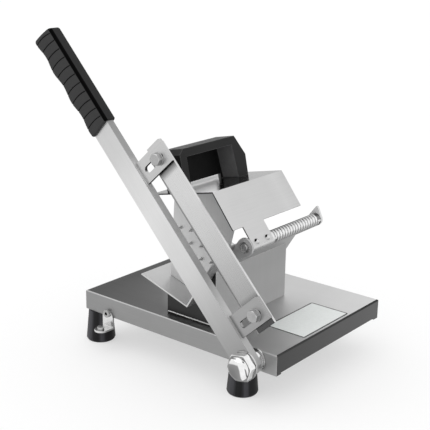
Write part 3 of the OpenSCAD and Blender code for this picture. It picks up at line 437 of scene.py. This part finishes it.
def finish_mesh(name, bm, materials, body, replaces, sharp=38.0):
    """Makes a piece of a mesh: it rides on a body, replaces nodes and takes a material slot.

    Edges that turn by more than sharp degrees stay sharp.
    """
    me = bpy.data.meshes.new(name)
    bmesh.ops.dissolve_degenerate(bm, dist=WELD, edges=bm.edges)
    bm.normal_update()
    bm.to_mesh(me)
    normals = corner_normals(bm, math.radians(sharp))
    bm.free()
    for f in me.polygons:
        f.use_smooth = True
    me.set_sharp_from_angle(angle=math.radians(sharp))
    me.normals_split_custom_set(normals)
    ob = bpy.data.objects.new(name, me)
    bpy.context.scene.collection.objects.link(ob)
    for m in materials if isinstance(materials, list) else [materials]:
        me.materials.append(m)
    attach(ob, body)
    if replaces:
        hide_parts(*replaces)
    return ob


# Faces that turn by less than FLAT are one face, and edges that turn by more than CORNER are eased
FLAT = math.radians(0.4)
CORNER = math.radians(32.0)
WIDE_SEGMENTS = 5


def dress(node, material, width, wide=None, segments=2, edge=None, faces=(), least=0.0):
    """A CAD node with its edges eased by a width as real edges are, or left sharp where that is 0.

    wide = (test, width) eases some edges more. edge is the eased edges' material. faces is a list of
    (material, test) for other faces, where the test gets a face's normal and its centre in millimetres.
    Edges no longer than least millimetres, such as those round a hole, stay sharp.
    """
    bm = bmesh.new()
    bm.from_mesh(NODES[node].data)
    bmesh.ops.remove_doubles(bm, verts=bm.verts, dist=WELD)
    bmesh.ops.dissolve_limit(bm, angle_limit=FLAT, verts=bm.verts, edges=bm.edges, delimit={"NORMAL"})
    bm.normal_update()
    for f in bm.faces:
        f.material_index = 0

    def ease(test, w, steps):
        picked = [e for e in bm.edges if len(e.link_faces) == 2 and e.calc_length() > least * MM
                  and e.calc_face_angle(0.0) > CORNER and all(test(v.co / MM) for v in e.verts)]
        bmesh.ops.bevel(bm, geom=picked, offset=w * MM, offset_type="OFFSET", segments=steps, profile=0.5,
                        affect="EDGES", clamp_overlap=True, material=1 if edge else -1)

    if wide:
        ease(wide[0], wide[1], WIDE_SEGMENTS)
    if width:
        ease(lambda co: True, width, segments)
    bm.normal_update()
    materials = [material, edge or material] + [m for m, _ in faces]
    for f in bm.faces:
        for k, (_, test) in enumerate(faces):
            if test(f.normal, f.calc_center_median() / MM):
                f.material_index = k + 2
                break
    finish_mesh(node + "_skin", bm, materials, BODY_OF[node], (node,))


def loft(bm, rings, close_ends=True):
    """Skins a list of rings of points, each with the same number of points."""
    rows = [[bm.verts.new(p * MM) for p in ring] for ring in rings]
    n = len(rows[0])
    for a, b in zip(rows, rows[1:]):
        for j in range(n):
            bm.faces.new((a[j], a[(j + 1) % n], b[(j + 1) % n], b[j]))
    if close_ends:
        bm.faces.new(list(reversed(rows[0])))
        bm.faces.new(rows[-1])
    return rows


def fix_normals(bm):
    """Turns all faces outward."""
    bmesh.ops.recalc_face_normals(bm, faces=bm.faces)


def ring_y(centre, count, radius_of, y_of):
    """A ring of points about an axis along Y, from a radius for each angle and a Y for each radius."""
    ring = []
    for k in range(count):
        a = 2.0 * math.pi * k / count
        r = radius_of(a)
        ring.append(Vector((centre.x + r * math.cos(a), y_of(r), centre.z + r * math.sin(a))))
    return ring


def lathe_y(bm, centre, profile, count, reshape=lambda a, r: r):
    """Turns a profile of (radius, y) about an axis along Y. reshape(angle, radius) may change a radius."""
    loft(bm, [ring_y(centre, count, lambda a: reshape(a, r), lambda _: y) for r, y in profile])


def hex_radius(a, af, turn):
    """Radius of a hexagon, af across flats, in the direction a."""
    s = (a - turn) % (math.pi / 3.0) - math.pi / 6.0
    return af / 2.0 / math.cos(s)


def hex_bar(bm, centre, y0, y1, af, turn, bore=None, chamfer=True, count=72):
    """Hexagonal nut or head along Y, its corners turned off at the ends, with a bore if asked.

    Without chamfer the corners at y1 stay.
    """
    flat = af / 2.0 * 0.955
    slope = math.tan(math.radians(28.0))
    lip = 0.4

    def round_ring(radius, y):
        return ring_y(centre, count, lambda a: radius, lambda r: y)

    def hex_ring(y_of):
        return ring_y(centre, count, lambda a: hex_radius(a, af, turn), y_of)

    rings = [round_ring(flat, y0),
             hex_ring(lambda r: y0 + (r - flat) * slope),
             hex_ring(lambda r: y1 - ((r - flat) * slope if chamfer else 0.0)),
             round_ring(flat, y1)]
    if not bore:
        loft(bm, rings)
        return
    start = [round_ring(bore, y0 + lip), round_ring(bore + lip, y0)]
    end = [round_ring(bore + lip, y1), round_ring(bore, y1 - lip)]
    rows = loft(bm, start + rings + end, close_ends=False)
    for j in range(count):
        k = (j + 1) % count
        bm.faces.new((rows[-1][j], rows[-1][k], rows[0][k], rows[0][j]))


def tube(bm, path, radius, sides):
    """A tube along a list of points, with flat ends."""
    rings = []
    last = len(path) - 1
    ref = (path[1] - path[0]).normalized().orthogonal().normalized()
    turns = [2 * math.pi * k / sides for k in range(sides)]
    for i, p in enumerate(path):
        t = (path[min(i + 1, last)] - path[max(i - 1, 0)]).normalized()
        ref = (ref - t * ref.dot(t)).normalized()
        side = t.cross(ref)
        rings.append([p + (ref * math.cos(a) + side * math.sin(a)) * radius for a in turns])
    loft(bm, rings)


def unit(v):
    """A value held between 0 and 1."""
    return min(1.0, max(0.0, v))


# Camera, fitted to the photograph's tray edges

def make_camera():
    """Yaw, pitch and roll are in degrees, and the place is in millimetres."""
    yaw, pitch, roll = (math.radians(v) for v in (38.724, 17.122, -0.953))
    fwd = Vector((-math.sin(yaw) * math.cos(pitch), math.cos(yaw) * math.cos(pitch), -math.sin(pitch)))
    right = Vector((math.cos(yaw), math.sin(yaw), 0.0))
    down = fwd.cross(right)
    r2 = right * math.cos(roll) + down * math.sin(roll)
    up = right * math.sin(roll) - down * math.cos(roll)
    cam = bpy.data.objects.new("camera", bpy.data.cameras.new("camera"))
    bpy.context.scene.collection.objects.link(cam)
    place = Vector((737.7, -905.2, 530.5)) * MM
    cam.matrix_world = Matrix((
        (r2.x, up.x, -fwd.x, place.x),
        (r2.y, up.y, -fwd.y, place.y),
        (r2.z, up.z, -fwd.z, place.z),
        (0.0, 0.0, 0.0, 1.0)))
    cam.data.sensor_width = 36.0
    cam.data.lens = 82.31
    cam.data.clip_end = 50.0
    bpy.context.scene.camera = cam


make_camera()


# CAD nodes with eased edges

FRONT = Vector((0.0, -1.0, 0.0))
RIGHT = Vector((1.0, 0.0, 0.0))
UP = Vector((0.0, 0.0, 1.0))
# Edges up to HOLE_EDGE millimetres lie round the holes and slots of sheet and bar
HOLE_EDGE = 4.0
RIM_EASE = 1.8
RIM_BAND = 1.9
NEAR = 0.01
PRESSER_FOOT_Z = (185.0, 225.0)
HANDLE_TOP_Z = 245.0
HANDLE_LEG_Y = (-10.0, 12.0)
HANDLE_GAP_Y = (-80.0, -5.0)
HANDLE_GAP_X = 30.0


def looks(direction, share):
    """A test for faces that look along a direction by more than a share."""
    return lambda n, c: n.dot(direction) > share


def within(v, limits):
    return limits[0] < v < limits[1]


def on_rim(v):
    """A point on the outer rim of the tray's top."""
    return v.z > TOP_Z - NEAR and (min(v.x - TRAY[0].x, TRAY[1].x - v.x) < NEAR
                                   or min(v.y - TRAY[0].y, TRAY[1].y - v.y) < NEAR)


def on_right_bend(n, c):
    return c.x > TRAY[1].x - RIM_BAND and c.z > TOP_Z - RIM_BAND and n.x > 0.15


def on_presser_edge(n, c):
    """The sheet's cut ends and the lower edge of its side, which take painted shade."""
    return abs(n.y) > 0.9 or (n.dot(UP_SIDE) < -0.3 and n.x > 0.0 and within(c.z, PRESSER_FOOT_Z))


dress("base_tray", M_TRAY, 0.3, (on_rim, RIM_EASE), edge=M_TRAY_BEND_HIGHLIGHT, least=HOLE_EDGE, faces=[
    (M_TRAY_SHADE, on_right_bend),
    (M_TRAY_TOP, lambda n, c: n.z > 0.97 and c.z > TOP_Z - 0.3),
    (M_TRAY_FRONT, looks(FRONT, 0.97)),
    (M_TRAY_RIGHT, looks(RIGHT, 0.97))])
dress("stand", M_STAND, 0.3, edge=M_EDGE_HIGHLIGHT, least=HOLE_EDGE, faces=[(M_STAND_FRONT_SHADE, looks(FRONT, 0.9))])
dress("trough", M_TROUGH, 0.45, edge=M_EDGE_HIGHLIGHT, least=HOLE_EDGE, faces=[(M_TROUGH_OUT_SHADE, looks(-UP, 0.3))])
dress("presser", M_PRESSER, 0.0, faces=[(M_PRESSER_TOP, looks(UP, 0.95)), (M_SHADED_EDGE, on_presser_edge)])
dress("push_plate", M_PUSH, 0.3, edge=M_EDGE_HIGHLIGHT, least=HOLE_EDGE)
dress("lever_arm", M_ARM, 0.7, least=HOLE_EDGE, faces=[(M_ARM_SIDE, lambda n, c: abs(n.dot(ACROSS)) > 0.8)])
for name in ("lower_bracket", "upper_bracket"):
    dress(name, M_BRACKET, 0.5, edge=M_EDGE_HIGHLIGHT, least=HOLE_EDGE, faces=[(M_SHADED_EDGE, looks(-ALONG, 0.8))])
dress("blade", M_BLADE, 0.12, least=HOLE_EDGE, faces=[
    (M_EDGE_HIGHLIGHT, looks(ACROSS, 0.8)),
    (M_BEVEL, lambda n, c: -0.95 < n.dot(ACROSS) < -0.15),
    (M_SHADED_EDGE, looks(-ALONG, 0.8))])
dress("stop_bracket", M_STOP, 0.5)
dress("front_lug", M_LUG, 0.5, edge=M_EDGE_HIGHLIGHT)
dress("rear_lug", M_LUG_REAR, 0.5)
dress("back_plate", M_LUG, 0.4)
dress("presser_handle", M_HANDLE, 1.6, segments=3, edge=M_HANDLE_EDGE_HIGHLIGHT, faces=[
    (M_HANDLE_TOP_LIT, lambda n, c: n.z > 0.8 and c.z > HANDLE_TOP_Z),
    (M_HANDLE_LEG_LIT, lambda n, c: n.y < -0.8 and within(c.y, HANDLE_LEG_Y)),
    (M_HANDLE_IN_SHADE, lambda n, c: n.x > 0.8 and within(c.y, HANDLE_GAP_Y) and c.x < HANDLE_GAP_X)])
dress("hinge_sleeve", M_ROD, 0.5, faces=[(M_EDGE_HIGHLIGHT, looks(FRONT, 0.9))])
dress("guide_rod", M_ROD, 0.8, faces=[(M_EDGE_HIGHLIGHT, looks(FRONT, 0.9))])
# The rivets' upper left faces take painted shade.
dress("sleeve_rivets", M_ZINC, 0.25, faces=[(M_SHADE_MARK, looks(UP_SIDE, 0.1))])
dress("pivot_spacer", M_CHROME, 0.9)
for name in ("foot_front_left", "foot_front_right", "foot_rear_left", "foot_rear_right"):
    dress(name, M_RUBBER, 1.2, segments=3)
for name in ("foot_screws", "foot_washers", "foot_nuts", "stand_screws", "stand_nuts", "spring_seat",
             "rod_clips", "spring_washer", "handle_screws", "blade_washers", "pivot_stud", "pivot_washers",
             "lock_nut", "stop_screw", "stop_nut", "stop_button"):
    dress(name, M_ZINC, 0.25)


# Spring: the part's own helix, drawn finer

def make_spring():
    y0, y1 = (c.y / MM for c in map(Vector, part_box("feed_spring")))
    wire, radius, turns, per, sides = 2.8, 6.4, 17, 32, 12
    n = turns * per
    path = [ROD + Vector((radius, y0 + k * wire / 4.0, 0.0)) for k in range(4)]
    for i in range(n + 1):
        a = 2.0 * math.pi * i / per
        y = y0 + wire + (y1 - y0 - 2 * wire) * i / n
        path.append(ROD + Vector((radius * math.cos(a), y, radius * math.sin(a))))
    path += [ROD + Vector((radius, y1 - (3 - k) * wire / 4.0, 0.0)) for k in range(4)]
    bm = bmesh.new()
    tube(bm, path, wire / 2.0, sides)
    fix_normals(bm)
    ob = finish_mesh("feed_spring_coil", bm, M_SPRING, "base", ("feed_spring",), 60.0)
    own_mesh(ob)


make_spring()


# Grip: waved for the fingers, with fine cross grooves in painted shade and a near-black strip along its front
# right edge

def rounded_ring(lo, hi, half, r):
    """Points round a rectangle lo to hi by -half to half with corners of radius r.

    Their number is the same for any size.
    """
    long_n, short_n, turn_n = 30, 12, 6
    corners = [(hi - r, half - r, 0), (lo + r, half - r, 90),
               (lo + r, r - half, 180), (hi - r, r - half, 270)]
    pts = []
    for k, (cx, cy, a0) in enumerate(corners):
        arc = [(cx + r * math.cos(math.radians(a0 + 90.0 * j / turn_n)),
                cy + r * math.sin(math.radians(a0 + 90.0 * j / turn_n))) for j in range(turn_n + 1)]
        pts += arc
        nx, ny, na = corners[(k + 1) % 4]
        end = (nx + r * math.cos(math.radians(na)), ny + r * math.sin(math.radians(na)))
        n = short_n if k % 2 else long_n
        pts += [tuple(arc[-1][i] + (end[i] - arc[-1][i]) * j / n for i in (0, 1)) for j in range(1, n)]
    return pts


def make_grip():
    # u runs along the arm, p across it
    u0, u1, mid_y, steps = 318.0, 459.0, -108.0, 470
    half_p, half_y, corner_r = 16.5, 9.0, 2.6
    heel_round, tip_round, end_inset = 2.0, 4.0, 1.8
    heel_length, heel_shear, tip_from, tip_shear = 20.0, 2.8, 440.0, 4.0
    wave_h, wave_l, wave_at = 2.8, 43.0, 347.6
    groove_at, groove_step, groove_count, groove_half = 330.6, 12.3, 11, 0.8
    front_depth, left_depth, back_y = 0.8, 0.5, 3.0
    bow, bow_at, bow_half = 1.3, -4.0, 12.0
    fade_at, fade_width = 14.8, 1.5
    line_p, line_y, dark_from = 14.4, -3.8, 0.35
    plain, recess, side, line = range(4)

    def wave(u):
        return wave_h * (1.0 + math.cos(2.0 * math.pi * (u - wave_at) / wave_l)) / 2.0

    def groove(u, pp):
        bowed = u + bow * ((pp - bow_at) / bow_half) ** 2
        d = min(abs(bowed - groove_at - k * groove_step) for k in range(groove_count))
        return unit((fade_at - pp) / fade_width) * max(0.0, 1.0 - (d / groove_half) ** 2)

    rings, dents = [], []
    for i in range(steps + 1):
        u = u0 + (u1 - u0) * i / steps
        ends = min(1.0, (u - u0) / heel_round, (u1 - u) / tip_round)
        shrink = (1.0 - math.sqrt(max(0.0, 1.0 - (1.0 - ends) ** 2))) * end_inset
        heel = max(0.0, 1.0 - (u - u0) / heel_length)
        tip = max(0.0, (u - tip_from) / (u1 - tip_from))
        ring, dent = [], []
        for pp, yy in rounded_ring(-half_p + wave(u) + shrink, half_p - shrink, half_y - shrink, corner_r):
            cut = groove(u, pp) if yy < back_y else 0.0
            share = (pp + half_p) / (2.0 * half_p)
            front = unit(-yy / 4.0 - 0.6)
            left = unit((-pp - 9.0) / 3.0)
            sheared = u - tip * tip_shear * share ** 2 + heel * heel_shear * share
            ring.append(on_arm(sheared, mid_y + yy + front_depth * cut * front, pp + left_depth * cut * left))
            dent.append((cut * max(front, left), pp, yy))
        rings.append(ring)
        dents.append(dent)
    bm = bmesh.new()
    rows = loft(bm, rings)
    level = {v: d for row, dent in zip(rows, dents) for v, d in zip(row, dent)}
    for f in bm.faces:
        near = [level[v] for v in f.verts]
        cut, pp, yy = (sum(d[k] for d in near) / len(near) for k in range(3))
        # A near-black strip runs along the front right edge.
        on_edge_strip = pp > line_p and yy < line_y
        # Faces on the right side take the darker painted-shade copy.
        f.material_index = side if pp > line_p else plain
        # Faces deep in a groove take painted shade.
        if (cut > dark_from or on_edge_strip) and len(near) == 4:
            f.material_index = line if on_edge_strip else recess
    fix_normals(bm)
    finish_mesh("arm_grip_moulded", bm, [M_GRIP, M_GRIP_GROOVE_SHADE, M_GRIP_SIDE_SHADE, M_GRIP_STRIP], "arm", ("arm_grip",),
                50.0)


make_grip()


# Cap nut: a hexagon with a round dome

def make_cap_nut():
    y_seat, hex_h, dome_h, af = -114.83, 10.0, 7.0, 30.0
    sink, rise, fullness, steps, tip_r = 0.4, 0.2, 0.8, 15, 0.05
    y_hex = y_seat - hex_h
    bm = bmesh.new()
    hex_bar(bm, PIVOT, y_hex, y_seat, af, 0.2)
    r = af / 2.0 * 0.93
    profile = []
    for k in range(steps):
        a = math.pi / 2.0 * k / steps
        profile.append((r * math.cos(a) ** fullness, y_hex + sink - (dome_h + rise) * math.sin(a)))
    profile.append((tip_r, y_hex - dome_h + 0.15))
    lathe_y(bm, PIVOT, profile, 72)
    fix_normals(bm)
    finish_mesh("cap_nut_turned", bm, M_CHROME, "base", ("cap_nut",), 30.0)


make_cap_nut()


# Hex bolts and nuts with turned corners

def make_bolts():
    bracket_y0, blade_y1, across = -109.43, -102.37, 48.3
    af, head_h, nut_h, washer = 13.0, 5.3, 4.5, 1.6
    shank_r, end_r, end_h, bore = 4.0, 3.4, 0.7, 4.05
    y_head = bracket_y0 - washer - head_h
    y_shank = y_head + head_h
    tail = blade_y1 + nut_h + washer
    y_nut = blade_y1 + washer
    bm_bolt, bm_nut = bmesh.new(), bmesh.new()
    for u, turn in ((38.0, 0.35), (244.0, 0.1)):
        c = on_arm(u, 0.0, across)
        hex_bar(bm_bolt, c, y_head, y_shank, af, turn, chamfer=False)
        lathe_y(bm_bolt, c, [(shank_r, y_shank), (shank_r, tail - end_h), (end_r, tail)], 48)
        hex_bar(bm_nut, c, y_nut, y_nut + nut_h, af, turn + 0.3, bore)
    for bm in (bm_bolt, bm_nut):
        fix_normals(bm)
    finish_mesh("blade_bolts_turned", bm_bolt, M_ZINC, "blade_set", ("blade_bolts",), 25.0)
    finish_mesh("blade_nuts_turned", bm_nut, M_ZINC, "blade_set", ("blade_nuts",), 25.0)


make_bolts()


# Label plate: blank, with rounded corners and a pressed border

def make_label():
    lo, hi = (c / MM for c in map(Vector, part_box("label_plate")))
    corner_r, least_r, corner_n = 3.0, 0.6, 6
    bm = bmesh.new()

    def outline(inset, z):
        r = max(least_r, corner_r - inset)
        left, right = lo.x + inset + r, hi.x - inset - r
        front, back = lo.y + inset + r, hi.y - inset - r
        pts = []
        for cx, cy, a0 in ((right, back, 0), (left, back, 90), (left, front, 180), (right, front, 270)):
            for k in range(corner_n + 1):
                a = math.radians(a0 + 90.0 * k / corner_n)
                pts.append(Vector((cx + r * math.cos(a), cy + r * math.sin(a), z)))
        return pts

    top = hi.z
    steps = [(0.0, lo.z), (0.0, top - 0.2), (0.15, top - 0.08), (2.1, top - 0.08), (2.25, top), (3.0, top)]
    rows = loft(bm, [outline(inset, z) for inset, z in steps])
    line = {v for row in rows[1:4] for v in row}
    for f in bm.faces:
        f.material_index = 1 if all(v in line for v in f.verts) else 0
    fix_normals(bm)
    finish_mesh("label_plate_blank", bm, [M_LABEL, M_LABEL_LINE], "base", ("label_plate",), 50.0)


make_label()


# Socket of the stop screw's head: a dark disc just proud of the head, painted shade standing in for the
# socket's hollow

def make_socket():
    lo, hi = (c / MM for c in map(Vector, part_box("stop_screw")))
    middle = Vector(((lo.x + hi.x) / 2.0, 0.0, (lo.z + hi.z) / 2.0))
    radius, face_r, centre_r, proud = 2.3, 1.9, 0.05, 0.05
    bm = bmesh.new()
    profile = [(radius, lo.y + 0.4), (radius, lo.y - 0.02), (face_r, lo.y - proud), (centre_r, lo.y - proud)]
    lathe_y(bm, middle, profile, 48, lambda a, r: hex_radius(a, 2.0 * r * 0.88, 0.3))
    fix_normals(bm)
    finish_mesh("stop_screw_socket", bm, M_SHADE_MARK, "base", (), 40.0)


make_socket()


# Stand's front panel: a bead is pressed outward along its lower edge

def make_hem():
    lo, hi = (c / MM for c in map(Vector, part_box("stand")))
    z0, inset, sink, deep, half_h = TOP_Z + 2.2, 0.4, 0.05, 0.9, 0.75
    steps, sides = 60, 8
    bm = bmesh.new()
    rings = []
    for k in range(steps + 1):
        t = k / steps
        x = lo.x + inset + (hi.x - lo.x - 2.0 * inset) * t
        size = min(1.0, t * 40.0 + 0.3, (1.0 - t) * 40.0 + 0.3)
        turns = [math.pi * j / sides - math.pi / 2.0 for j in range(sides + 1)]
        rings.append([Vector((x, lo.y + sink - deep * size * math.cos(a),
                              z0 + half_h * size * (1.0 + math.sin(a)))) for a in turns])
    loft(bm, rings)
    fix_normals(bm)
    finish_mesh("stand_front_hem", bm, M_HEM, "base", (), 50.0)


make_hem()


# Stage and light

def make_floor():
    """A pale floor that glows a little where it is seen, so that it ends up white, and keeps the shadow."""
    size, glow_share = 12.0, 0.55
    me = bpy.data.meshes.new("floor")
    bm = bmesh.new()
    verts = [bm.verts.new((x * size, y * size, 0.0)) for x, y in ((-1, -1), (1, -1), (1, 1), (-1, 1))]
    bm.faces.new(verts)
    bm.to_mesh(me)
    bm.free()
    floor = bpy.data.objects.new("floor", me)
    bpy.context.scene.collection.objects.link(floor)
    m, nt, bsdf = tree("floor")
    bsdf.inputs["Base Color"].default_value = (0.96, 0.96, 0.96, 1.0)
    bsdf.inputs["Roughness"].default_value = 0.9
    bsdf.inputs["Specular IOR Level"].default_value = 0.0
    path = nt.nodes.new("ShaderNodeLightPath")
    seen = math_node(nt, "MAXIMUM", path.outputs["Is Camera Ray"], path.outputs["Is Glossy Ray"])
    seen = math_node(nt, "MAXIMUM", seen, path.outputs["Is Transmission Ray"])
    glow = add(nt, "ShaderNodeEmission", Strength=1.0)
    glow.inputs["Color"].default_value = (1.0, 1.0, 1.0, 1.0)
    mix = nt.nodes.new("ShaderNodeMixShader")
    nt.links.new(mapped(nt, seen, 0.0, 1.0, 0.0, glow_share), mix.inputs[0])
    nt.links.new(bsdf.outputs["BSDF"], mix.inputs[1])
    nt.links.new(glow.outputs["Emission"], mix.inputs[2])
    nt.links.new(mix.outputs["Shader"], nt.nodes["Material Output"].inputs["Surface"])
    me.materials.append(m)


def make_light():
    world = bpy.data.worlds.new("studio")
    bpy.context.scene.world = world
    world.use_nodes = True
    sky = world.node_tree.nodes["Background"]
    sky.inputs["Color"].default_value = (1.0, 1.0, 1.0, 1.0)
    sky.inputs["Strength"].default_value = 1.0

    data = bpy.data.lights.new("key", "SUN")
    data.energy = 0.35
    data.angle = math.radians(50.0)
    key = bpy.data.objects.new("key", data)
    bpy.context.scene.collection.objects.link(key)
    key.rotation_euler = Vector((0.45, 0.5, -0.8)).to_track_quat("-Z", "Y").to_euler()


make_floor()
make_light()
bpy.context.scene.view_settings.view_transform = "Standard"
